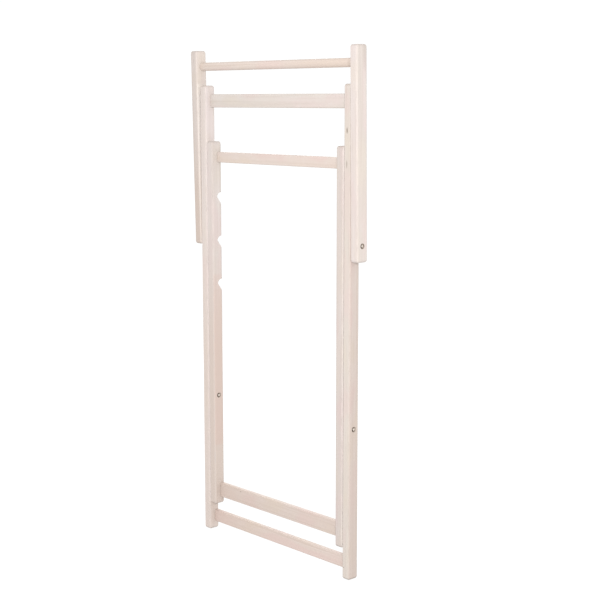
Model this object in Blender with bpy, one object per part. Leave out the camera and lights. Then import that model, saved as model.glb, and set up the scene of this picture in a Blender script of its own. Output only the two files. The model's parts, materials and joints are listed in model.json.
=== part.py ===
"""Folding deck chair frame without its sling, folded flat and upright.

Three wooden frames are nested one inside the next across X and turn about two
horizontal pins: the inner seat frame with its support notches, the middle back
frame that stands on the floor, and the short outer prop frame whose round rod
drops into the notches. Z is up, the notched edges face +Y, and the origin is
on the floor under the middle of the whole. Shapes are first laid out about the
middle plane of the back frame and then moved to it.
"""
import math

import bmesh
import bpy
from mathutils import Matrix, Vector

for old in list(bpy.data.objects):
    bpy.data.objects.remove(old, do_unlink=True)

MM = 0.001

# Overall
FRAME_Y = 3.1 * MM            # middle plane of the back and seat frames, so the whole is centred on Y = 0
WIDTH = 575.0 * MM            # across the outer faces of the prop stiles at their pins
HEIGHT = 1200.0 * MM          # floor to the top of the prop stiles
GAP = 0.3 * MM                # air between pieces that touch
SIDE_GAP = 1.6 * MM           # air between neighbouring frames, filled by a washer

# Stile sections and their rounding
STILE_THICK = 22.0 * MM       # across X
FRAME_DEPTH = 29.0 * MM       # across Y, seat and back frames
PROP_DEPTH = 32.0 * MM        # across Y, prop frame
EDGE_R = 4.5 * MM
END_IN_X = 4.5 * MM
END_IN_Y = 6.0 * MM
END_IN_Z = 6.0 * MM

# Heights of the frames
BACK_TOP = 1116.8 * MM
SEAT_TOP = 982.6 * MM
SEAT_BOTTOM = 71.0 * MM
SEAT_PIN_Z = 351.0 * MM       # pin between seat frame and back frame
PROP_PIN_Z = 766.0 * MM       # pin between prop frame and back frame
PROP_BELOW_PIN = 36.5 * MM
PROP_LEAN = math.radians(0.9)  # the prop frame tips toward -Y by this much
PROP_SPLAY = 1.8 * MM         # each prop stile stands out by this much at its top

# Rails: heights are those of the middle of each rail
RAIL_DEPTH = 13.0 * MM
RAIL_BACK = 7.5 * MM          # middle of the rails behind the middle of the stiles
RAIL_R = 2.5 * MM
BACK_TOP_RAIL_Z, BACK_TOP_RAIL_TALL = 1080.0 * MM, 32.0 * MM
BACK_LOW_RAIL_Z, BACK_LOW_RAIL_TALL = 33.5 * MM, 29.8 * MM
SEAT_TOP_RAIL_Z, SEAT_TOP_RAIL_TALL = 944.3 * MM, 25.3 * MM
SEAT_LOW_RAIL_Z, SEAT_LOW_RAIL_TALL = 105.9 * MM, 36.2 * MM
TENON_LONG = 14.0 * MM
TENON_THICK = 8.0 * MM
TENON_SHOULDER = 3.0 * MM     # step above and below each tenon
TENON_R = 3.0 * MM

# Rod of the prop frame, with thinner turned ends let into the stiles
ROD_R = 10.0 * MM
ROD_UP = 396.0 * MM           # from the prop pin to the rod
ROD_BACK = 5.0 * MM           # middle of the rod behind the middle of the stiles
ROD_END_R = 7.0 * MM
ROD_END_LONG = 14.0 * MM

# Support notches: heights of the deepest points above the seat pin
NOTCH_HEIGHTS = (282.0 * MM, 389.0 * MM, 496.0 * MM)
NOTCH_DEEP = 14.2 * MM
NOTCH_R = 11.4 * MM           # hollow between the lip and the deepest point
NOTCH_RAMP = 19.8 * MM        # drop from the deepest point to the foot of the ramp

# Pins: a screw with a flat head turned into a sleeve with the same head
HEAD_R = 6.0 * MM
HEAD_THICK = 2.0 * MM
HEAD_SUNK = 0.2 * MM
DOME_R = 2.6 * MM
DOME_UP = 0.15 * MM
SLEEVE_R = 3.5 * MM
SCREW_R = 2.4 * MM
THREAD_ENGAGED = 30.0 * MM
WASHER_R = 8.5 * MM

# X of the middle of each stile
PROP_X = WIDTH / 2 - STILE_THICK / 2
BACK_X = PROP_X - STILE_THICK - SIDE_GAP
SEAT_X = BACK_X - STILE_THICK - SIDE_GAP

WOOD = {
    "seat": (0.80, 0.72, 0.64, 1.0),
    "back": (0.82, 0.74, 0.66, 1.0),
    "prop": (0.84, 0.76, 0.69, 1.0),
}
STEEL = (0.45, 0.42, 0.39, 1.0)


def material(name, colour, metallic, roughness):
    made = bpy.data.materials.new(name)
    made.use_nodes = True
    shader = made.node_tree.nodes["Principled BSDF"]
    shader.inputs["Base Color"].default_value = colour
    shader.inputs["Metallic"].default_value = metallic
    shader.inputs["Roughness"].default_value = roughness
    return made


def rounded_rectangle(wide, tall, radius, steps=4):
    """Points of a rounded rectangle about the origin, counter-clockwise."""
    points = []
    for quarter, (sx, sy) in enumerate(((1, 1), (-1, 1), (-1, -1), (1, -1))):
        for step in range(steps + 1):
            angle = math.radians(90 * (quarter + step / steps))
            points.append((
                sx * (wide / 2 - radius) + radius * math.cos(angle),
                sy * (tall / 2 - radius) + radius * math.sin(angle),
            ))
    return points


def circle(radius, steps):
    """Points of a circle about the origin, counter-clockwise."""
    return [
        (radius * math.cos(2 * math.pi * n / steps), radius * math.sin(2 * math.pi * n / steps))
        for n in range(steps)
    ]


def skin(loops, ring=False):
    """A closed mesh through loops of equal length: capped ends, or joined into a ring."""
    mesh = bmesh.new()
    rows = [[mesh.verts.new(point) for point in loop] for loop in loops]
    count = len(rows[0])
    pairs = list(zip(rows, rows[1:]))
    if ring:
        pairs.append((rows[-1], rows[0]))
    else:
        mesh.faces.new(rows[0])
        mesh.faces.new(rows[-1])
    for low, high in pairs:
        for n in range(count):
            m = (n + 1) % count
            mesh.faces.new((low[n], low[m], high[m], high[n]))
    bmesh.ops.recalc_face_normals(mesh, faces=mesh.faces[:])
    return mesh


def piece(name, mesh, made):
    data = bpy.data.meshes.new(name)
    mesh.to_mesh(data)
    mesh.free()
    obj = bpy.data.objects.new(name, data)
    bpy.context.scene.collection.objects.link(obj)
    data.materials.append(made)
    return obj


def cut(obj, cutters):
    """Takes each cutter mesh out of the object."""
    for mesh in cutters:
        data = bpy.data.meshes.new("cutter")
        mesh.to_mesh(data)
        mesh.free()
        tool = bpy.data.objects.new("cutter", data)
        tool.hide_render = True
        tool.display_type = "WIRE"
        bpy.context.scene.collection.objects.link(tool)
        change = obj.modifiers.new("cut", "BOOLEAN")
        change.operation = "DIFFERENCE"
        change.solver = "EXACT"
        change.object = tool
        graph = bpy.context.evaluated_depsgraph_get()
        result = bpy.data.meshes.new_from_object(obj.evaluated_get(graph))
        obj.modifiers.clear()
        before = obj.data
        obj.data = result
        result.name = obj.name
        bpy.data.meshes.remove(before)
        bpy.data.objects.remove(tool, do_unlink=True)
        tidy = bmesh.new()
        tidy.from_mesh(result)
        bmesh.ops.remove_doubles(tidy, verts=tidy.verts[:], dist=0.002 * MM)
        tidy.to_mesh(result)
        tidy.free()


def upright(x, low, high, depth):
    """A stile along Z with rounded edges and rounded-over ends."""
    loops = []
    steps = 4
    for end, z_end, into in ((0, low, 1), (1, high, -1)):
        row = []
        for step in range(steps + 1):
            angle = math.radians(90 * step / steps)
            shrink = 1 - math.sin(angle)
            rise = END_IN_Z * (1 - math.cos(angle))
            outline = rounded_rectangle(
                STILE_THICK - 2 * END_IN_X * shrink,
                depth - 2 * END_IN_Y * shrink,
                max(EDGE_R - END_IN_X * shrink, 0.4 * MM),
            )
            row.append([Vector((x + u, v, z_end + into * rise)) for u, v in outline])
        loops += row if end == 0 else row[::-1]
    return skin(loops)


def rail(half_span, z, tall):
    """A flat rail along X with a stub tenon on each end."""
    body = rounded_rectangle(RAIL_DEPTH, tall, RAIL_R)
    neck = rounded_rectangle(TENON_THICK, tall - 2 * TENON_SHOULDER, TENON_R)
    tip = rounded_rectangle(TENON_THICK - 1.6 * MM, tall - 2 * TENON_SHOULDER - 1.6 * MM, TENON_R - 0.8 * MM)
    far = half_span - GAP + TENON_LONG
    stations = (
        (-far, tip), (-far + 0.8 * MM, neck), (-half_span + GAP, neck), (-half_span + GAP, body),
        (half_span - GAP, body), (half_span - GAP, neck), (far - 0.8 * MM, neck), (far, tip),
    )
    return skin([[Vector((x, RAIL_BACK + u, z + v)) for u, v in outline] for x, outline in stations])


def mortise(side, face_x, z, tall):
    """The blind slot for a stub tenon, cut from the inner face of a stile."""
    slot = rounded_rectangle(
        TENON_THICK + 2 * GAP, tall - 2 * TENON_SHOULDER + 2 * GAP, TENON_R + GAP
    )
    start, stop = face_x - 2 * MM, face_x + TENON_LONG + 0.6 * MM
    return skin([[Vector((side * x, RAIL_BACK + u, z + v)) for u, v in slot] for x in (start, stop)])


def rod(stations, z, y=0.0, steps=32, ring=False):
    """A turned shape about an axis along X, from (x, radius) stations."""
    return skin(
        [[Vector((x, y + u, z + v)) for u, v in circle(radius, steps)] for x, radius in stations], ring
    )


def notch(x, height):
    """Cutter for a support notch: a hollow quarter round under a short lip, and a straight ramp below it."""
    back = FRAME_DEPTH / 2
    deepest = back - NOTCH_DEEP
    z = SEAT_PIN_Z + height
    out = 3 * MM
    steps = 8
    profile = [(back + out, z + NOTCH_R)]
    for step in range(steps + 1):
        angle = math.radians(90 + 90 * step / steps)
        profile.append((
            deepest + NOTCH_R + NOTCH_R * math.cos(angle), z + NOTCH_R * math.sin(angle)
        ))
    profile.append((back + out, z - NOTCH_RAMP * (NOTCH_DEEP + out) / NOTCH_DEEP))
    half = STILE_THICK / 2 + 2 * MM
    return skin([[Vector((x + s, y, zz)) for y, zz in profile] for s in (-half, half)])


def pin_bore(side, outer_x, inner_x, z):
    """Cutter for the bore of a pin, with the two pockets its heads lie in."""
    pocket = HEAD_SUNK + HEAD_THICK + GAP
    wide, narrow = HEAD_R + GAP, SLEEVE_R + GAP
    return rod([(side * x, r) for x, r in (
        (inner_x - 2 * MM, wide), (inner_x + pocket, wide), (inner_x + pocket, narrow),
        (outer_x - pocket, narrow), (outer_x - pocket, wide), (outer_x + 2 * MM, wide),
    )], z)


def pin(name, side, outer_x, inner_x, z):
    """The screw and the sleeve of one pin."""
    label = "right" if side > 0 else "left"
    face = outer_x - HEAD_SUNK
    under = face - HEAD_THICK
    opposite = inner_x + HEAD_SUNK
    over = opposite + HEAD_THICK
    mouth = under - 0.6 * MM
    reach = under - THREAD_ENGAGED
    edge = 0.4 * MM
    screw = rod([
        (side * x, r) for x, r in (
            (reach, SCREW_R - edge), (reach + edge, SCREW_R), (under, SCREW_R), (under, HEAD_R),
            (face - edge, HEAD_R), (face, HEAD_R - edge), (face, DOME_R), (face + DOME_UP, DOME_R - edge),
        )
    ], z)
    sleeve = rod([
        (side * x, r) for x, r in (
            (reach - 0.6 * MM, SCREW_R + GAP), (mouth, SCREW_R + GAP), (mouth, SLEEVE_R - edge),
            (mouth - edge, SLEEVE_R), (over, SLEEVE_R), (over, HEAD_R), (opposite + edge, HEAD_R),
            (opposite, HEAD_R - edge), (opposite, DOME_R), (opposite - DOME_UP, DOME_R - edge),
        )
    ], z)
    piece(f"{name}_screw_{label}", screw, material(f"{name}_screw_{label}", STEEL, 1.0, 0.4))
    piece(f"{name}_sleeve_{label}", sleeve, material(f"{name}_sleeve_{label}", STEEL, 1.0, 0.4))


def washer(name, side, low_x, z):
    """A thin spacing washer in the air between two frames."""
    label = "right" if side > 0 else "left"
    a, b = side * (low_x + GAP), side * (low_x + SIDE_GAP - GAP)
    hole = SLEEVE_R + GAP
    ring = rod(((a, hole), (b, hole), (b, WASHER_R), (a, WASHER_R)), z, ring=True)
    piece(f"{name}_washer_{label}", ring, material(f"{name}_washer_{label}", STEEL, 1.0, 0.45))


def tip_prop(obj):
    """Splays a piece of the prop frame outward and leans it about its pin."""
    run = HEIGHT - PROP_PIN_Z
    for vertex in obj.data.vertices:
        x, y, z = vertex.co
        x += math.copysign(PROP_SPLAY * (z - PROP_PIN_Z) / run, x)
        vertex.co = (x, y, z)
    about = Matrix.Translation((0, 0, PROP_PIN_Z))
    obj.data.transform(about @ Matrix.Rotation(PROP_LEAN, 4, "X") @ about.inverted())


def face(middle):
    """Inner face of the stile with this middle."""
    return middle - STILE_THICK / 2


half = STILE_THICK / 2
seat_pin = (BACK_X + half, SEAT_X - half, SEAT_PIN_Z)
prop_pin = (PROP_X + half, BACK_X - half, PROP_PIN_Z)
prop_top = PROP_PIN_Z + (HEIGHT - PROP_PIN_Z) / math.cos(PROP_LEAN)

for side, label in ((-1, "left"), (1, "right")):
    # Back frame stile: stands on the floor and carries both pins
    stile = piece(
        f"back_stile_{label}", upright(side * BACK_X, 0, BACK_TOP, FRAME_DEPTH),
        material(f"back_stile_{label}", WOOD["back"], 0, 0.6),
    )
    cut(stile, [
        mortise(side, face(BACK_X), BACK_TOP_RAIL_Z, BACK_TOP_RAIL_TALL),
        mortise(side, face(BACK_X), BACK_LOW_RAIL_Z, BACK_LOW_RAIL_TALL),
        pin_bore(side, *seat_pin),
        pin_bore(side, *prop_pin),
    ])

    # Seat frame stile with its three notches
    stile = piece(
        f"seat_stile_{label}", upright(side * SEAT_X, SEAT_BOTTOM, SEAT_TOP, FRAME_DEPTH),
        material(f"seat_stile_{label}", WOOD["seat"], 0, 0.6),
    )
    cut(stile, [
        mortise(side, face(SEAT_X), SEAT_TOP_RAIL_Z, SEAT_TOP_RAIL_TALL),
        mortise(side, face(SEAT_X), SEAT_LOW_RAIL_Z, SEAT_LOW_RAIL_TALL),
        pin_bore(side, *seat_pin),
    ] + [notch(side * SEAT_X, height) for height in NOTCH_HEIGHTS])

    # Prop frame stile
    stile = piece(
        f"prop_stile_{label}",
        upright(side * PROP_X, PROP_PIN_Z - PROP_BELOW_PIN, prop_top, PROP_DEPTH),
        material(f"prop_stile_{label}", WOOD["prop"], 0, 0.6),
    )
    inner = face(PROP_X)
    socket = rod((
        (side * (inner - 2 * MM), ROD_END_R + GAP), (side * (inner + ROD_END_LONG + 0.6 * MM), ROD_END_R + GAP)
    ), PROP_PIN_Z + ROD_UP, ROD_BACK, steps=40)
    cut(stile, [socket, pin_bore(side, *prop_pin)])
    tip_prop(stile)

    pin("seat_pin", side, *seat_pin)
    pin("prop_pin", side, *prop_pin)
    washer("seat_pin", side, SEAT_X + half, SEAT_PIN_Z)
    washer("prop_pin", side, BACK_X + half, PROP_PIN_Z)

for name, middle, z, tall, wood in (
    ("back_top_rail", BACK_X, BACK_TOP_RAIL_Z, BACK_TOP_RAIL_TALL, "back"),
    ("back_bottom_rail", BACK_X, BACK_LOW_RAIL_Z, BACK_LOW_RAIL_TALL, "back"),
    ("seat_top_rail", SEAT_X, SEAT_TOP_RAIL_Z, SEAT_TOP_RAIL_TALL, "seat"),
    ("seat_bottom_rail", SEAT_X, SEAT_LOW_RAIL_Z, SEAT_LOW_RAIL_TALL, "seat"),
):
    piece(name, rail(face(middle), z, tall), material(name, WOOD[wood], 0, 0.6))

shoulder = face(PROP_X) - GAP
reach = shoulder + ROD_END_LONG
chamfer = 1.0 * MM
half_rod = (
    (shoulder - 0.5 * MM, ROD_R), (shoulder, ROD_R - 0.5 * MM), (shoulder, ROD_END_R),
    (reach - chamfer, ROD_END_R), (reach, ROD_END_R - chamfer),
)
prop_rod = piece("prop_rod", rod(
    [(-x, r) for x, r in half_rod[::-1]] + list(half_rod), PROP_PIN_Z + ROD_UP, ROD_BACK, steps=40
), material("prop_rod", WOOD["prop"], 0, 0.6))
tip_prop(prop_rod)

for obj in bpy.data.objects:
    obj.data.transform(Matrix.Translation((0, FRAME_Y, 0)))
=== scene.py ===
"""Looks of a folding deck chair frame: washed beech, dulled steel pins and a pale studio.

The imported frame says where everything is. Nineteen of its nodes are replaced by finished pieces
of the same size. The four washers stay as they are and get a material. Everything is in metres.
X runs across the chair, +Y points to the notched edges and +Z runs up the folded stiles.
"""
import json
import math

import bmesh
import bpy
from mathutils import Matrix, Vector

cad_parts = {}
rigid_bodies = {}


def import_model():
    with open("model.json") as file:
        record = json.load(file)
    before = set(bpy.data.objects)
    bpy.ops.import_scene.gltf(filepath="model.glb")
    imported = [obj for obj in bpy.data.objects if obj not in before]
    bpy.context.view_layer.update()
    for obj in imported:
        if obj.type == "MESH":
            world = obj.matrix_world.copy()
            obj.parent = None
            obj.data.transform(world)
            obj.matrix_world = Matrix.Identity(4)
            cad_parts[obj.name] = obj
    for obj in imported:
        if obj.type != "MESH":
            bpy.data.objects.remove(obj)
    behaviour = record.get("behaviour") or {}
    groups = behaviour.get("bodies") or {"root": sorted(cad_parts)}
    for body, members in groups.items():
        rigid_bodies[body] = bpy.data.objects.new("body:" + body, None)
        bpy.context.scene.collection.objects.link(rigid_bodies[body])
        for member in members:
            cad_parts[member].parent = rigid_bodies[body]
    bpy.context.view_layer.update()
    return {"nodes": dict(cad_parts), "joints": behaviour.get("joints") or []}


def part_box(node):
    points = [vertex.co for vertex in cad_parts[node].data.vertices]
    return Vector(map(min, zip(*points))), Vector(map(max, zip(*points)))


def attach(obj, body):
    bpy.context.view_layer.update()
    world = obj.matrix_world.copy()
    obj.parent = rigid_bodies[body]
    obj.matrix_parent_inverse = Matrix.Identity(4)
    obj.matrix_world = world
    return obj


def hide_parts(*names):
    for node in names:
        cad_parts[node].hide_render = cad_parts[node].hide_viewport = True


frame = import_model()
for item in list(bpy.data.objects):  # the startup file's cube, lamp and camera
    if item.type in ("LIGHT", "CAMERA") or item.name == "Cube":
        bpy.data.objects.remove(item, do_unlink=True)

# ------------------------------------------------------------------ sizes

MM = 0.001
SIDES = ((-1, "left"), (1, "right"))

pins_at = {joint["name"]: Vector(joint["pos_m"]) for joint in frame["joints"]}
MID_Y = pins_at["seat_fold"].y
SEAT_PIN_Z = pins_at["seat_fold"].z
PROP_PIN_Z = pins_at["prop_swing"].z

GAP = 0.3 * MM  # air round a tenon, a rod end, a screw or a sleeve
PAST = 2 * MM  # how far a cutter reaches past the wood
CUT_EASE = 0.5 * MM  # bevel along cut edges

EDGE_R = 4.5 * MM  # rounding along a stile
SMALLEST_R = 0.4 * MM  # rounding left at the tip of a stile
END_IN = (4.5 * MM, 6.0 * MM, 6.0 * MM)  # how far the end of a stile rounds over in X, Y and Z

PROP_TOP = 1200.0 * MM
PROP_DEPTH = 32 * MM
PROP_BELOW_PIN = 36.5 * MM
STILE_SPACE = 1.6 * MM  # between the prop and back stiles
LEAN = math.radians(0.9)  # of the prop frame, its top toward -Y
SPLAY = 1.8 * MM  # how much further out the top of a prop stile is than its pin

TENON = 14 * MM
TENON_THICK = 8 * MM
TENON_TRIM = 6 * MM  # how much less tall a tenon is than its rail
TENON_R = 3 * MM
TENON_CHAMFER = 0.8 * MM
RAIL_R = 2.5 * MM
RAIL_CHAMFER = 0.3 * MM  # where a rail meets a stile
SOCKET_SPARE = 0.6 * MM  # depth left free past a tenon or a rod end

ROD_Z = PROP_PIN_Z + 396 * MM
ROD_OFF = 5 * MM  # from the middle of the stile toward the notches
ROD_R = 10 * MM
ROD_END_R = 7 * MM

NOTCHES_UP = (282 * MM, 389 * MM, 496 * MM)  # above the seat pins
NOTCH_DEEP = 14.2 * MM
NOTCH_ROUND = 11.4 * MM  # radius of the hollow that takes the rod
NOTCH_RAMP = 19.8 * MM  # height of the slope below it
NOTCH_PAST = 3 * MM

SHAFT_R = 2.4 * MM
SLEEVE_R = 3.5 * MM
HEAD_R = 6 * MM
HEAD_THICK = 2 * MM
HEAD_SUNK = 0.2 * MM
HEAD_POCKET = 2.5 * MM
SHAFT_LONG = 30 * MM
PIN_CHAMFER = 0.4 * MM
MOUTH_SHORT = 0.3 * MM  # the sleeve's mouth stops this far short of the pocket
# profile of both heads from the rim to the domed middle: (outward from the face, radius) in mm
HEAD_PROFILE = (
    (-2.0, 5.8), (-1.8, 6.0), (-0.5, 6.0), (-0.15, 5.85), (0.0, 5.5),
    (-0.25, 3.2), (-0.25, 2.7), (0.0, 2.5), (0.12, 1.8), (0.15, 0.8),
)

# sides of the turned shapes
ROD_STEPS = 64
HOLE_STEPS = 48
PIN_STEPS = 40

WELD = 0.002 * MM
CUT_ANGLE = math.radians(40)  # sharper edges than this are eased where a cut made them
CUT_SHORTEST = 0.4 * MM  # shorter edges than this are left alone
SMOOTH_ANGLE = math.radians(32)  # sharper edges than this stay sharp in the shading


def middle_and_size(node):
    """Middle and size of a CAD node's box."""
    low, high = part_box(node)
    return [(a + b) / 2 for a, b in zip(low, high)], [b - a for a, b in zip(low, high)]


def height_span(node):
    """Lowest and highest Z of a CAD node."""
    low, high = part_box(node)
    return low[2], high[2]


THICK = middle_and_size("back_stile_left")[1][0]
DEPTH = middle_and_size("back_stile_right")[1][1]
middles = {kind: middle_and_size(f"{kind}_stile_right")[0][0] for kind in ("back", "seat")}
middles["prop"] = middles["back"] + THICK + STILE_SPACE
inner = {kind: middle - THICK / 2 for kind, middle in middles.items()}
prop_span = (PROP_PIN_Z - PROP_BELOW_PIN, PROP_PIN_Z + (PROP_TOP - PROP_PIN_Z) / math.cos(LEAN))
# outer end, inner end and height: seat pins join back and seat, prop pins join prop and back
PINS = {
    "seat_pin": (middles["back"] + THICK / 2, inner["seat"], SEAT_PIN_Z),
    "prop_pin": (middles["prop"] + THICK / 2, inner["back"], PROP_PIN_Z),
}

# ------------------------------------------------------------------ shapes


def rounded(wide, tall, radius, steps=7):
    """Rounded rectangle about the origin, counter-clockwise."""
    points = []
    for quarter, (sx, sy) in enumerate(((1, 1), (-1, 1), (-1, -1), (1, -1))):
        for step in range(steps + 1):
            angle = math.radians(90 * (quarter + step / steps))
            points.append((
                sx * (wide / 2 - radius) + radius * math.cos(angle),
                sy * (tall / 2 - radius) + radius * math.sin(angle),
            ))
    return points


def circle(radius, steps):
    """Points of a circle about the origin."""
    angles = [2 * math.pi * step / steps for step in range(steps)]
    return [(radius * math.cos(angle), radius * math.sin(angle)) for angle in angles]


def skin(loops):
    """Closed mesh through loops of equal length, with capped ends."""
    mesh = bmesh.new()
    rows = [[mesh.verts.new(point) for point in loop] for loop in loops]
    count = len(rows[0])
    mesh.faces.new(rows[0])
    mesh.faces.new(rows[-1])
    for low, high in zip(rows, rows[1:]):
        for this in range(count):
            after = (this + 1) % count
            mesh.faces.new((low[this], low[after], high[after], high[this]))
    bmesh.ops.recalc_face_normals(mesh, faces=mesh.faces[:])
    return mesh


def along_x(outlines):
    """Closed mesh through (x, points in Y and Z) outlines."""
    return skin([[Vector((x, y, z)) for y, z in outline] for x, outline in outlines])


def moved(outline, y, z):
    """The outline moved in its plane."""
    return [(y + u, z + v) for u, v in outline]


def stile(x, span, depth):
    """A stile along Z with rounded edges and rounded-over ends."""
    steps = 6
    loops = []
    for end, into in ((0, 1), (1, -1)):
        row = []
        for step in range(steps + 1):
            angle = math.radians(90 * step / steps)
            shrink = 1 - math.sin(angle)
            z = span[end] + into * END_IN[2] * (1 - math.cos(angle))
            outline = rounded(
                THICK - 2 * END_IN[0] * shrink, depth - 2 * END_IN[1] * shrink,
                max(EDGE_R - END_IN[0] * shrink, SMALLEST_R),
            )
            row.append([Vector((x + u, MID_Y + v, z)) for u, v in outline])
        loops += row if end == 0 else row[::-1]
    return skin(loops)


def turned(stations, z, steps, y=0.0):
    """A turned shape about an axis along X, from (x, radius) stations."""
    return along_x([(x, moved(circle(radius, steps), MID_Y + y, z)) for x, radius in stations])


def flat_rail(span, y, z, tall, thick):
    """A flat rail along X with a stub tenon on each end."""
    body = rounded(thick, tall, RAIL_R)
    shoulder = rounded(thick - 2 * RAIL_CHAMFER, tall - 2 * RAIL_CHAMFER, RAIL_R - RAIL_CHAMFER)
    neck = rounded(TENON_THICK, tall - TENON_TRIM, TENON_R)
    tip = rounded(
        TENON_THICK - 2 * TENON_CHAMFER, tall - TENON_TRIM - 2 * TENON_CHAMFER,
        TENON_R - TENON_CHAMFER,
    )
    end = span - GAP
    far = end + TENON
    half = [
        (far, tip), (far - TENON_CHAMFER, neck), (end, neck),
        (end, shoulder), (end - RAIL_CHAMFER, body),
    ]
    whole = [(-x, outline) for x, outline in half] + half[::-1]
    return along_x([(x, moved(outline, y, z)) for x, outline in whole])


def tenon_cut(side, face, y, z, tall):
    """The slot in a stile that takes a rail's tenon."""
    shape = rounded(TENON_THICK + 2 * GAP, tall - TENON_TRIM + 2 * GAP, TENON_R + GAP, 4)
    places = (face - PAST, face + TENON + SOCKET_SPARE)
    return along_x([(side * x, moved(shape, y, z)) for x in places])


def rod_cut(side):
    """The hole in a prop stile that takes an end of the rod."""
    places = (inner["prop"] - PAST, inner["prop"] + TENON + SOCKET_SPARE)
    return turned([(side * x, ROD_END_R + GAP) for x in places], ROD_Z, ROD_STEPS, ROD_OFF)


def notch_cut(x, z):
    """A hollow quarter round under a short lip, and a straight ramp below it."""
    steps = 14
    mouth = MID_Y + DEPTH / 2
    floor_y = mouth - NOTCH_DEEP
    outline = [(mouth + NOTCH_PAST, z + NOTCH_ROUND)]
    for step in range(steps + 1):
        angle = math.radians(90 + 90 * step / steps)
        outline.append((
            floor_y + NOTCH_ROUND + NOTCH_ROUND * math.cos(angle),
            z + NOTCH_ROUND * math.sin(angle),
        ))
    ramp_end = NOTCH_RAMP * (NOTCH_DEEP + NOTCH_PAST) / NOTCH_DEEP
    outline.append((mouth + NOTCH_PAST, z - ramp_end))
    half = THICK / 2 + PAST
    return along_x([(x + reach, outline) for reach in (-half, half)])


def pin_cut(side, pin):
    """The hole for a pin through two stiles, with a pocket for each head."""
    far, near, z = PINS[pin]
    wide, narrow = HEAD_R + GAP, SLEEVE_R + GAP
    return turned([(side * x, radius) for x, radius in (
        (near - PAST, wide), (near + HEAD_POCKET, wide), (near + HEAD_POCKET, narrow),
        (far - HEAD_POCKET, narrow), (far - HEAD_POCKET, wide), (far + PAST, wide),
    )], z, HOLE_STEPS)


def pin_head(face, out):
    """Stations of a pin's head: its face is at x = face and looks along out."""
    return [(face + out * x * MM, radius * MM) for x, radius in HEAD_PROFILE]


def screw(side, pin):
    """The screw of a pin, put in from the outer stile."""
    far, _, z = PINS[pin]
    face = far - HEAD_SUNK
    under = face - HEAD_THICK
    shaft = [
        (under - SHAFT_LONG, SHAFT_R - PIN_CHAMFER),
        (under - SHAFT_LONG + PIN_CHAMFER, SHAFT_R), (under, SHAFT_R),
    ]
    return turned([(side * x, radius) for x, radius in shaft + pin_head(face, 1)], z, PIN_STEPS)


def sleeve(side, pin):
    """The sleeve of a pin, put in from the inner stile, with a blind bore for the screw."""
    far, near, z = PINS[pin]
    face = near + HEAD_SUNK
    under = face + HEAD_THICK
    mouth = far - HEAD_POCKET - MOUTH_SHORT
    bore = SHAFT_R + GAP
    barrel = [
        (mouth - SHAFT_LONG, bore), (mouth, bore), (mouth, SLEEVE_R - PIN_CHAMFER),
        (mouth - PIN_CHAMFER, SLEEVE_R), (under, SLEEVE_R),
    ]
    return turned([(side * x, radius) for x, radius in barrel + pin_head(face, -1)], z, PIN_STEPS)


def rod():
    """The round rod of the prop frame, with a thinner end in each stile."""
    face = inner["prop"] - GAP
    half = [
        (face - 0.6 * MM, ROD_R), (face - 0.2 * MM, ROD_R - 0.2 * MM), (face, ROD_R - 0.6 * MM),
        (face, ROD_END_R), (face + TENON - MM, ROD_END_R), (face + TENON, ROD_END_R - MM),
    ]
    stations = [(-x, radius) for x, radius in half[::-1]] + half
    return turned(stations, ROD_Z, ROD_STEPS, ROD_OFF)


def tip_over(mesh):
    """Splays and leans a mesh of the prop frame about its pins."""
    for vertex in mesh.verts:
        up = (vertex.co.z - PROP_PIN_Z) / (PROP_TOP - PROP_PIN_Z)
        vertex.co.x += math.copysign(SPLAY * up, vertex.co.x)
    about = Matrix.Translation((0, MID_Y, PROP_PIN_Z))
    lean = about @ Matrix.Rotation(LEAN, 4, "X") @ about.inverted()
    bmesh.ops.transform(mesh, matrix=lean, verts=mesh.verts[:])
    return mesh


def add_object(name, mesh):
    """A new object in the scene, made from a bmesh that is used up."""
    data = bpy.data.meshes.new(name)
    mesh.to_mesh(data)
    mesh.free()
    obj = bpy.data.objects.new(name, data)
    bpy.context.scene.collection.objects.link(obj)
    return obj


def cut_out(obj, cutter):
    """Takes the cutter's shape out of the object."""
    tool = add_object("tool", cutter)
    change = obj.modifiers.new("cut", "BOOLEAN")
    change.operation, change.solver, change.object = "DIFFERENCE", "EXACT", tool
    evaluated = obj.evaluated_get(bpy.context.evaluated_depsgraph_get())
    result = bpy.data.meshes.new_from_object(evaluated)
    obj.modifiers.clear()
    obj.data = result
    bpy.data.objects.remove(tool, do_unlink=True)


def is_cut_edge(edge):
    """True for a real corner where a cut meets a face that looks along X."""
    if len(edge.link_faces) != 2 or edge.calc_face_angle() <= CUT_ANGLE:
        return False
    along, across = 0.97, 0.2  # X part of the normals of a side face and of a cut wall
    turned_to_x = [abs(face.normal.x) for face in edge.link_faces]
    is_corner = max(turned_to_x) > along and min(turned_to_x) < across
    return is_corner and edge.calc_length() > CUT_SHORTEST


def make(node, mesh, body, finish, cuts=(), ease=0.0):
    """The finished piece for a node: cut, eased, and smooth except at real corners."""
    obj = add_object(f"{node}_finished", mesh)
    for cutter in cuts:
        cut_out(obj, cutter)
    shape = bmesh.new()
    shape.from_mesh(obj.data)
    bmesh.ops.remove_doubles(shape, verts=shape.verts[:], dist=WELD)
    if ease:
        bmesh.ops.bevel(
            shape, geom=[edge for edge in shape.edges if is_cut_edge(edge)], offset=ease,
            segments=2, profile=0.6, affect="EDGES", clamp_overlap=True,
        )
    for edge in shape.edges:
        two_faced = len(edge.link_faces) == 2
        edge.smooth = not (two_faced and edge.calc_face_angle() > SMOOTH_ANGLE)
    for face in shape.faces:
        face.smooth = True
    shape.to_mesh(obj.data)
    shape.free()
    obj.data.materials.clear()
    obj.data.materials.append(finish)
    weigh = obj.modifiers.new("weighted normals", "WEIGHTED_NORMAL")
    weigh.keep_sharp = True
    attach(obj, body)
    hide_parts(node)


# ------------------------------------------------------------------ materials

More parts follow.
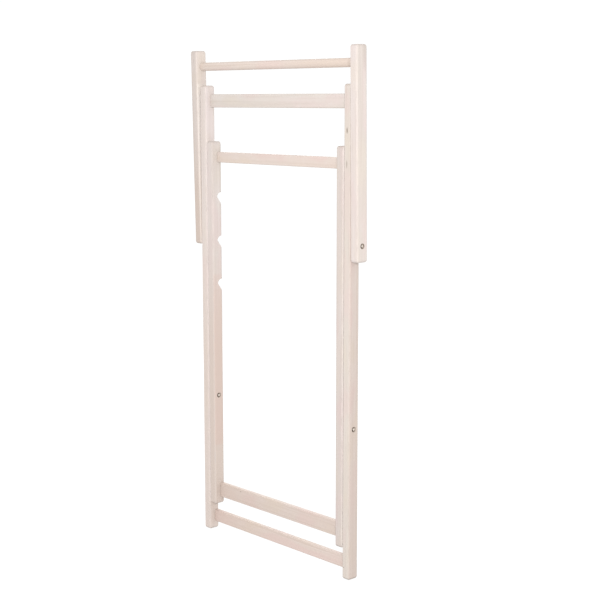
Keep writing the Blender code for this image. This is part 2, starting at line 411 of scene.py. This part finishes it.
PALE = 0.779  # scales all the wood colours to this light
TYPICAL_BASE = 0.45  # a usual base colour of the wood, for painted light that makes a face lighter
END_GRAIN = 7 * MM  # how far the end-grain tone fades in from the end of a stile
SIDE_FADE = 8 * MM  # how far a side's painted light and shade fades in along a stile
HEAD_TONE, FOOT_SHADE = 0.58, 0.88  # how far the upper end grain is darkened, and how far painted shade darkens the lower end
BOTTOM, TOP = -1, 2  # past both ends, for a tint over a whole stile

# colour: linear base colour before PALE
# seed: moves the noise, so that no two pieces share a figure
# sides: painted light and shade on the face toward +X, each (factors, lowest Z, highest Z)
# shade: a slow change to a darker tone, (axis, start, end, amount)
# marks: dark spots, each (place, half sizes, darkness); the one on the rod is painted shade near
# its joint
# pale_edge: how far painted light brightens the edges toward -X, in the seams between stiles
# foot: how far painted shade darkens the lower end, if not the usual amount
LOOKS = {
    "back_stile_left": {
        "colour": (0.683, 0.608, 0.570), "seed": 3,
        "sides": (((1.05, 1.05, 1.08), 0.983, TOP), ((1.15, 1.15, 1.17), 0.07, 0.991)),
        "shade": ("Z", 0.98, 0.40, 0.38),
        "pale_edge": 0.9,
    },
    "back_stile_right": {
        "colour": (0.644, 0.578, 0.526), "seed": 4,
        "sides": (((0.93, 0.885, 0.88), BOTTOM, TOP),),
        "marks": (
            ((0.2525, MID_Y - 0.0145, 1.0165), (0.0020, 0.003, 0.0075), 0.95),
            ((0.2520, MID_Y - 0.0145, 0.9430), (0.0018, 0.003, 0.0095), 0.55),
            ((0.2472, MID_Y - 0.0145, 0.0277), (0.0014, 0.003, 0.0016), 0.95),
        ),
    },
    "seat_stile_left": {
        "colour": (0.652, 0.587, 0.552), "seed": 8,
        "sides": (((1.0, 0.95, 0.94), 0.22, 0.66),),
        "shade": ("Z", 0.82, 0.45, 0.85),
        "marks": (((-0.2183, MID_Y + 0.0065, 0.0800), (0.003, 0.0028, 0.0038), 0.24),),
        "pale_edge": 0.9,
    },
    "seat_stile_right": {
        "colour": (0.603, 0.534, 0.498), "seed": 9,
        "sides": (((1.30, 1.30, 1.30), BOTTOM, TOP),),
    },
    "prop_stile_left": {
        "colour": (0.609, 0.537, 0.497), "seed": 17,
        "sides": (((1.16, 1.15, 1.14), 1.117, TOP), ((1.28, 1.29, 1.28), BOTTOM, 1.125)),
        "shade": ("Z", 0.98, 0.85, 0.75),
        "marks": (((-0.2840, MID_Y - 0.0165, 1.172), (0.0010, 0.004, 0.012), 0.55),),
    },
    "prop_stile_right": {
        "colour": (0.665, 0.591, 0.561), "seed": 18,
        "sides": (((1.04, 1.05, 1.03), BOTTOM, TOP),),
        "marks": (((0.2885, MID_Y + 0.0050, 1.185), (0.005, 0.0105, 0.052), 0.17),),
        "pale_edge": 0.8,
        "foot": 0.15,
    },
    "back_top_rail": {"colour": (0.656, 0.596, 0.552), "seed": 31},
    "back_bottom_rail": {
        "colour": (0.653, 0.550, 0.495), "seed": 32, "shade": ("X", 0.02, -0.22, 0.35),
    },
    "seat_top_rail": {"colour": (0.662, 0.567, 0.512), "seed": 33},
    "seat_bottom_rail": {
        "colour": (0.634, 0.538, 0.485), "seed": 34, "shade": ("X", 0.02, -0.2, 0.3),
        "marks": (((-0.1378, MID_Y + 0.0010, 0.1180), (0.0017, 0.003, 0.0014), 0.9),),
    },
    "prop_rod": {
        "colour": (0.685, 0.590, 0.532), "seed": 41, "shade": ("X", 0.0, 0.2, 0.35),
        # painted shade where the rod's right end goes into the stile
        "marks": (((0.2530, MID_Y - 0.0090, 1.161), (0.0060, 0.012, 0.014), 0.16),),
    },
}


class Nodes:
    """Short ways to place shader nodes."""

    def __init__(self, name):
        self.material = bpy.data.materials.new(name)
        self.material.use_nodes = True
        self.tree = self.material.node_tree
        self.shader = self.tree.nodes["Principled BSDF"]
        self.place = self.new("ShaderNodeTexCoord")

    def new(self, kind):
        return self.tree.nodes.new(kind)

    def link(self, a, b):
        self.tree.links.new(a, b)

    def put(self, value, socket):
        """Sets the socket to a constant, or links an output to it."""
        if isinstance(value, (int, float, tuple)):
            socket.default_value = value
        else:
            self.link(value, socket)

    def calc(self, operation, a, b=None, clamp=False):
        node = self.new("ShaderNodeMath")
        node.operation, node.use_clamp = operation, clamp
        self.put(a, node.inputs[0])
        if b is not None:
            self.put(b, node.inputs[1])
        return node.outputs[0]

    def times(self, a, b):
        return self.calc("MULTIPLY", a, b)

    def vector(self, operation, a, b):
        """A vector minus, times or over a constant."""
        node = self.new("ShaderNodeVectorMath")
        node.operation = operation
        self.link(a, node.inputs[0])
        node.inputs[1].default_value = b
        return node.outputs["Vector"]

    def length(self, a):
        node = self.new("ShaderNodeVectorMath")
        node.operation = "LENGTH"
        self.link(a, node.inputs[0])
        return node.outputs["Value"]

    def split(self, a):
        """The X, Y and Z outputs of a vector."""
        node = self.new("ShaderNodeSeparateXYZ")
        self.link(a, node.inputs[0])
        return node.outputs

    def coords(self, scale, shift):
        """Object coordinates, scaled and shifted."""
        mapping = self.new("ShaderNodeMapping")
        mapping.inputs["Scale"].default_value = scale
        mapping.inputs["Location"].default_value = shift
        self.link(self.place.outputs["Object"], mapping.inputs["Vector"])
        return mapping.outputs["Vector"]

    def noise(self, scale, shift, detail, rough, distort=0.0):
        node = self.new("ShaderNodeTexNoise")
        node.inputs["Scale"].default_value = 1.0
        node.inputs["Detail"].default_value = detail
        node.inputs["Roughness"].default_value = rough
        node.inputs["Distortion"].default_value = distort
        self.link(self.coords(scale, shift), node.inputs["Vector"])
        return node.outputs["Fac"]

    def ramp(self, value, low, high, out_low=0.0, out_high=1.0):
        """A soft step from out_low to out_high as the value goes from low to high."""
        node = self.new("ShaderNodeMapRange")
        node.interpolation_type = "SMOOTHSTEP"
        node.inputs["From Min"].default_value = low
        node.inputs["From Max"].default_value = high
        node.inputs["To Min"].default_value = out_low
        node.inputs["To Max"].default_value = out_high
        self.link(value, node.inputs["Value"])
        return node.outputs["Result"]

    def mix(self, amount, a, b, mode="MIX"):
        node = self.new("ShaderNodeMix")
        node.data_type, node.blend_type = "RGBA", mode
        # sockets 0, 6, 7 and 2 are the ones a colour mix uses
        factor, first, second = (node.inputs[place] for place in (0, 6, 7))
        self.put(amount, factor)
        self.put(a, first)
        self.put(b, second)
        return node.outputs[2]

    def finish(self, base, rough, height, strength, distance):
        """Links colour, roughness and bump to the shader and gives the material."""
        self.link(base, self.shader.inputs["Base Color"])
        self.link(rough, self.shader.inputs["Roughness"])
        bump = self.new("ShaderNodeBump")
        bump.inputs["Strength"].default_value = strength
        bump.inputs["Distance"].default_value = distance
        self.link(height, bump.inputs["Height"])
        self.link(bump.outputs[0], self.shader.inputs["Normal"])
        return self.material


def tone(colour, factor, warm=0.0, pink=0.0):
    """The colour made darker or lighter, warmer or cooler, and pinker or greener."""
    r, g, b = (PALE * factor * part for part in colour)
    return (min(r * (1 + warm) * (1 + pink), 1), g * (1 - pink), b * (1 - warm), 1)


def end_tones(n, base, colour, shift, height, ends, foot):
    """Ring-patterned end grain at the upper end, and the same at the lower end, darkened further by
    painted shade.
    """
    low = n.ramp(height, ends[0] - MM, ends[0] + END_GRAIN, 1.0, 0.0)
    high = n.ramp(height, ends[1] - END_GRAIN, ends[1] + MM)
    rings = n.noise((420, 90, 420), shift, 2.0, 0.5, 1.2)
    grain = n.mix(n.ramp(rings, 0.4, 0.6), tone(colour, 0.66, 0.05), tone(colour, 0.82, 0.03))
    # painted shade at the lower end
    low_end_shade = n.mix(0.72, grain, tone(colour, 0.56, -0.03, -0.012))
    base = n.mix(n.times(high, HEAD_TONE), base, grain)
    return n.mix(n.times(low, foot), base, low_end_shade)


def edge_tones(n, base, colour, shift, facing_x, pale_edge):
    """Patchy painted shade on the rounded edges along a stile, dimming their highlight; where
    pale_edge is given, it keeps to the edges toward +X and painted light brightens those toward -X.
    """
    sideways = n.calc("ABSOLUTE", facing_x)
    edge = n.times(n.ramp(sideways, 0.12, 0.45), n.ramp(sideways, 0.80, 0.985, 1.0, 0.0))
    if pale_edge:
        edge = n.times(edge, n.ramp(facing_x, -0.06, 0.06))
    edge_patches = n.noise((150, 150, 34), shift, 3.0, 0.6)
    dimmed_edges = n.times(edge, n.ramp(edge_patches, 0.42, 0.66, 0.25, 1.0))
    # painted shade dims the highlight on the rounded edges
    base = n.mix(dimmed_edges, base, tone(colour, 0.86, 0.02))
    if pale_edge:
        # painted light on the edges toward -X, in the seams between stiles
        far = n.times(
            n.ramp(facing_x, -0.40, -0.10, 1.0, 0.0), n.ramp(edge_patches, 0.30, 0.60, 0.75, 1.0)
        )
        base = n.mix(n.times(far, pale_edge), base, tone(colour, 1.32, -0.01))
    return base


def side_light_and_shade(n, base, facing_x, height, tint, low_z, high_z):
    """Painted light and shade on the face toward +X between two heights: lighter across the shaded
    seams between stiles, darker where the face turns from the light. The part of a factor over 1 is
    added.
    """
    above = n.ramp(height, low_z, low_z + SIDE_FADE)
    below = n.ramp(height, high_z - SIDE_FADE, high_z, 1.0, 0.0)
    flat_on = n.times(n.ramp(facing_x, 0.45, 0.92), n.times(above, below))
    tinted = n.mix(1.0, base, (*(min(part, 1.0) for part in tint), 1), "MULTIPLY")
    if max(tint) > 1.0:
        extra = (*(max(part - 1.0, 0.0) * TYPICAL_BASE for part in tint), 1)
        tinted = n.mix(1.0, tinted, extra, "ADD")
    return n.mix(flat_on, base, tinted)


def dark_spot_and_shade(n, base, colour, fibre, place, half, dark):
    """A dark spot with edges made ragged by the fibre; on the rod it is painted shade near the
    joint.
    """
    off = n.vector("SUBTRACT", n.place.outputs["Object"], place)
    reach = n.length(n.vector("DIVIDE", off, half))
    ragged = n.calc("ADD", reach, n.times(n.calc("SUBTRACT", fibre, 0.5), 0.8))
    return n.mix(n.ramp(ragged, 0.45, 1.15, dark, 0.0), base, tone(colour, 0.30, 0.16))


def wood(name, along="Z", ends=None):
    """Washed beech with bands, fibre and ray flecks, and the piece's own looks, some of them
    painted light and shade.
    """
    look = LOOKS[name]
    colour, seed = look["colour"], look["seed"]
    n = Nodes(name)
    shift = (seed * 1.37, seed * 0.61, seed * 2.11)
    hue_shift = (seed * 2.9, seed * 1.7, seed * 0.8)

    def stretch(long, wide):
        return (wide, wide, long) if along == "Z" else (long, wide, wide)

    # scales along and across the grain, shift, detail, roughness and distortion
    broad = n.noise(stretch(0.9, 55), shift, 2.0, 0.5, 0.5)
    streak = n.noise(stretch(2.6, 230), shift, 3.0, 0.55, 0.3)
    fibre = n.noise(stretch(16, 1500), shift, 3.0, 0.6)
    patch = n.noise(stretch(5, 14), shift, 2.0, 0.5)
    wash = n.noise((38, 38, 38), shift, 4.0, 0.6)
    hue = n.noise(stretch(9, 26), hue_shift, 1.5, 0.45)
    flecks = n.new("ShaderNodeTexVoronoi")
    flecks.inputs["Scale"].default_value = 1.0
    n.link(n.coords(stretch(170, 700), shift), flecks.inputs["Vector"])
    fleck = n.ramp(flecks.outputs["Distance"], 0.10, 0.26, 0.30, 0.0)

    base = n.mix(n.ramp(broad, 0.32, 0.68), tone(colour, 0.955, 0.012), tone(colour, 1.035, -0.006))
    for source, low, high, at_low, at_high, toward in (
        (hue, 0.50, 0.66, 0.0, 0.95, (0.985, 0.008, 0.026)),  # pinker areas
        (hue, 0.32, 0.47, 0.85, 0.0, (0.985, 0.034, -0.012)),  # yellower areas
        (streak, 0.52, 0.72, 0.0, 0.62, (0.84, 0.035)),  # dark growth lines
        (streak, 0.28, 0.44, 0.50, 0.0, (1.09, -0.014)),  # light wood between them
        (fibre, 0.55, 0.75, 0.0, 0.30, (0.86, 0.03)),  # fine dark fibres
        (patch, 0.38, 0.66, 0.0, 0.30, (0.955, 0.03)),  # slow change along a piece
        (wash, 0.55, 0.74, 0.0, 0.28, (1.08, -0.03)),  # where the wash is thicker
    ):
        base = n.mix(n.ramp(source, low, high, at_low, at_high), base, tone(colour, *toward))
    base = n.mix(fleck, base, tone(colour, 0.80, 0.05))

    at = n.split(n.place.outputs["Object"])
    facing_x = n.split(n.place.outputs["Normal"])["X"]
    if ends:
        base = end_tones(n, base, colour, shift, at["Z"], ends, look.get("foot", FOOT_SHADE))
    if "shade" in look:
        axis, start, stop, amount = look["shade"]
        shaded = n.ramp(at[axis], start, stop, 0.0, amount)
        base = n.mix(shaded, base, tone(colour, 0.88, 0.065, 0.004))
    if along == "Z":
        base = edge_tones(n, base, colour, shift, facing_x, look.get("pale_edge", 0.0))
    # painted light and shade on the face toward +X
    for tint, low_z, high_z in look.get("sides", ()):
        base = side_light_and_shade(n, base, facing_x, at["Z"], tint, low_z, high_z)
    for place, half, dark in look.get("marks", ()):
        base = dark_spot_and_shade(n, base, colour, fibre, place, half, dark)

    n.shader.inputs["Specular IOR Level"].default_value = 0.22
    rough = n.calc("ADD", n.times(wash, 0.22), n.times(streak, 0.16))
    height = n.calc("ADD", n.times(fibre, 0.6), n.times(streak, 0.9))
    height = n.calc("SUBTRACT", height, n.times(fleck, 0.8))
    return n.finish(base, n.calc("ADD", rough, 0.50, True), height, 0.35, 0.35 * MM)


def steel(name, centre):
    """Dulled steel: a dome bared by wear, browned flange round it with painted shadow on its -Y
    side as in a recess, fine turning marks.
    """
    n = Nodes(name)
    off = n.vector("SUBTRACT", n.place.outputs["Object"], centre)
    out = n.length(n.vector("MULTIPLY", off, (0, 1, 1)))
    grime = n.noise((420, 420, 420), (0, 0, 0), 4.0, 0.6)
    uneven = n.noise((190, 190, 190), centre, 1.0, 0.5)
    turning = n.new("ShaderNodeTexNoise")
    turning.noise_dimensions = "1D"
    turning.inputs["Scale"].default_value = 4200
    n.link(out, turning.inputs["W"])

    flange = n.mix(n.ramp(grime, 0.35, 0.7), (0.16, 0.105, 0.075, 1), (0.27, 0.20, 0.155, 1))
    flange = n.mix(n.ramp(uneven, 0.38, 0.62), flange, (0.40, 0.33, 0.27, 1))
    rim = n.ramp(out, 4.8 * MM, 5.6 * MM, 0.0, 0.85)
    flange = n.mix(rim, flange, (0.52, 0.45, 0.39, 1))
    # painted shadow on the -Y side of the flange, as in a recess
    recess_shadow = n.ramp(n.split(off)["Y"], -4.2 * MM, 2.6 * MM, 0.85, 0.0)
    flange = n.mix(recess_shadow, flange, (0.045, 0.028, 0.020, 1))
    dome = n.mix(n.ramp(grime, 0.4, 0.7), (0.74, 0.67, 0.60, 1), (0.58, 0.51, 0.45, 1))
    base = n.mix(n.ramp(out, 2.2 * MM, 3.4 * MM, 1.0, 0.0), flange, dome)

    n.shader.inputs["Metallic"].default_value = 0.85
    rough = n.calc("ADD", n.times(grime, 0.3), n.times(turning.outputs["Fac"], 0.12))
    return n.finish(base, n.calc("ADD", rough, 0.2, True), turning.outputs["Fac"], 0.3, 0.1 * MM)


# ------------------------------------------------------------------ pieces

RAIL_NAMES = {
    "back": ("back_top_rail", "back_bottom_rail"),
    "seat": ("seat_top_rail", "seat_bottom_rail"),
}
rails = {}
for kind, names in RAIL_NAMES.items():
    for name in names:
        (_, y, z), (_, thick, tall) = middle_and_size(name)
        rails[name] = (y, z, tall, thick)

for side, label in SIDES:
    for kind, names in RAIL_NAMES.items():
        name = f"{kind}_stile_{label}"
        span = height_span(f"{kind}_stile_right")
        cuts = [tenon_cut(side, inner[kind], *rails[rail][:3]) for rail in names]
        cuts.append(pin_cut(side, "seat_pin"))
        if kind == "back":
            cuts.append(pin_cut(side, "prop_pin"))
        else:
            cuts += [notch_cut(side * middles["seat"], SEAT_PIN_Z + up) for up in NOTCHES_UP]
        make(name, stile(side * middles[kind], span, DEPTH), f"{kind}_frame",
             wood(name, ends=span), cuts, CUT_EASE)

    name = f"prop_stile_{label}"
    cuts = [tip_over(rod_cut(side)), tip_over(pin_cut(side, "prop_pin"))]
    upright = stile(side * middles["prop"], prop_span, PROP_DEPTH)
    make(name, tip_over(upright), "prop_frame",
         wood(name, ends=(prop_span[0], PROP_TOP)), cuts, CUT_EASE)

for name, measures in rails.items():
    kind = name.split("_")[0]
    make(name, flat_rail(inner[kind], *measures), f"{kind}_frame",
         wood(name, along="X"))

make("prop_rod", tip_over(rod()), "prop_frame", wood("prop_rod", along="X"))

for pin, (far, near, z) in PINS.items():
    for side, label in SIDES:
        name = f"{pin}_screw_{label}"
        finish = steel(name, (side * far, MID_Y, z))
        make(name, screw(side, pin), "back_frame", finish)
        name = f"{pin}_sleeve_{label}"
        finish = steel(name, (side * near, MID_Y, z))
        make(name, sleeve(side, pin), "back_frame", finish)
        name = f"{pin}_washer_{label}"
        finish = steel(name, (side * near, MID_Y, z))
        for material_slot in frame["nodes"][name].material_slots:
            material_slot.material = finish

# ------------------------------------------------------------------ studio

FLOOR_HALF = 14  # half the side of the floor
FLOOR_DROP = 0.5 * MM  # keeps the floor clear of the feet
SKY_STRENGTH = 1.04
SENSOR = 36.0
FOCAL_PX, PHOTO_PX = 1339.2, 610  # focal length of the camera fitted to the photo, and its width
AZIMUTH, ELEVATION, DISTANCE = math.radians(47.65), math.radians(8.67), 3.0834
AIM = Vector((0.10127, MID_Y, 0.61538))

floor_mesh = bmesh.new()
bmesh.ops.create_grid(floor_mesh, x_segments=2, y_segments=2, size=FLOOR_HALF)
floor = add_object("floor", floor_mesh)
floor.location = (0, 0, -FLOOR_DROP)
# mostly self-lit, so that the white ground doesn't spill over the edges of the stiles
pale = bpy.data.materials.new("pale_floor")
pale.use_nodes = True
pale_shader = pale.node_tree.nodes["Principled BSDF"]
pale_shader.inputs["Base Color"].default_value = (0.06, 0.06, 0.06, 1)
pale_shader.inputs["Emission Color"].default_value = (1, 1, 1, 1)
pale_shader.inputs["Emission Strength"].default_value = 0.95
pale_shader.inputs["Roughness"].default_value = 0.9
pale_shader.inputs["Specular IOR Level"].default_value = 0.1
floor.data.materials.append(pale)

world = bpy.context.scene.world or bpy.data.worlds.new("studio")
bpy.context.scene.world = world
world.use_nodes = True
sky = world.node_tree.nodes["Background"]
sky.inputs["Color"].default_value = (1.0, 1.0, 1.0, 1)
sky.inputs["Strength"].default_value = SKY_STRENGTH


def look_along(obj, direction):
    """Turns a lamp or camera to look along a direction."""
    obj.rotation_mode = "QUATERNION"
    obj.rotation_quaternion = direction.to_track_quat("-Z", "Y")


def softbox(name, place, aim, size, power):
    """A square area light at a place, turned to its aim."""
    data = bpy.data.lights.new(name, "AREA")
    data.shape, data.size, data.energy = "SQUARE", size, power
    lamp = bpy.data.objects.new(name, data)
    lamp.location = place
    look_along(lamp, Vector(aim) - Vector(place))
    bpy.context.scene.collection.objects.link(lamp)


softbox("key", (2.15, -2.05, 1.35), (0, 0, 0.65), size=0.9, power=68)
softbox("top", (0.2, -0.8, 3.4), (0, 0, 1.0), size=1.6, power=6)
softbox("back", (-2.15, 2.05, 1.35), (0, 0, 0.65), size=1.2, power=54)

camera_data = bpy.data.cameras.new("camera")
camera_data.sensor_width = SENSOR
camera_data.lens = FOCAL_PX / PHOTO_PX * SENSOR
camera_data.clip_start, camera_data.clip_end = 0.05, 60
camera = bpy.data.objects.new("camera", camera_data)
bpy.context.scene.collection.objects.link(camera)
bpy.context.scene.camera = camera
to_camera = Vector((
    math.sin(AZIMUTH) * math.cos(ELEVATION),
    -math.cos(AZIMUTH) * math.cos(ELEVATION),
    math.sin(ELEVATION),
))
camera.location = AIM + to_camera * DISTANCE
look_along(camera, -to_camera)
bpy.context.scene.view_settings.view_transform = "Standard"
